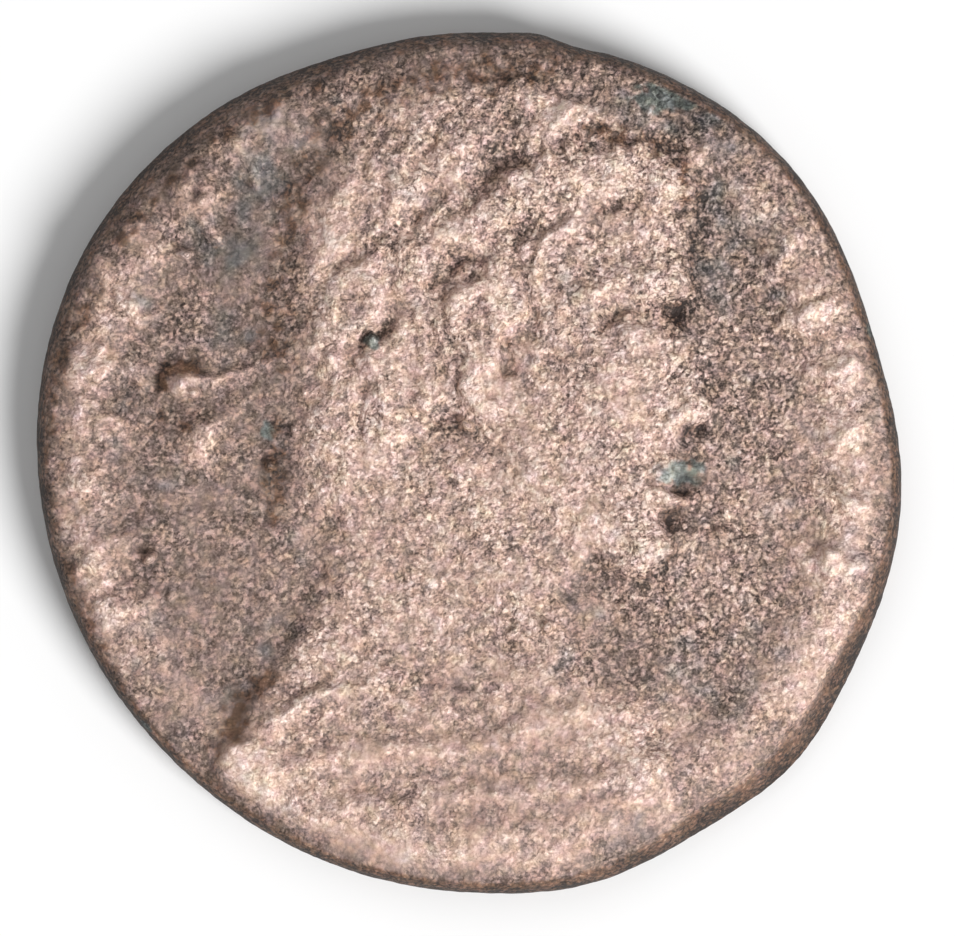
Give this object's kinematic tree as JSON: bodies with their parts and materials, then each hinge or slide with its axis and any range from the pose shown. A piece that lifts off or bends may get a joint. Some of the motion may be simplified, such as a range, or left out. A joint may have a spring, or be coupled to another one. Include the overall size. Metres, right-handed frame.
{
  "type": "ancient bronze coin",
  "caption": "Worn, slightly out-of-round bronze coin of late antiquity with a draped, diademed bust facing right and a standing figure on the back.",
  "frame": {"origin": "middle of the coin's bounding box, on the surface that the coin lies on", "axes": "+Z out of the portrait's side, +X the way the portrait faces, +Y towards the portrait's crown"},
  "size_m": [0.018, 0.018, 0.002],
  "materials": {
    "bronze": "corroded bronze, grainy pinkish brown on the relief, darker grey brown in the fields, with traces of green"
  },
  "bodies": {
    "root": {"coin": "bronze"}
  },
  "joints": []
}
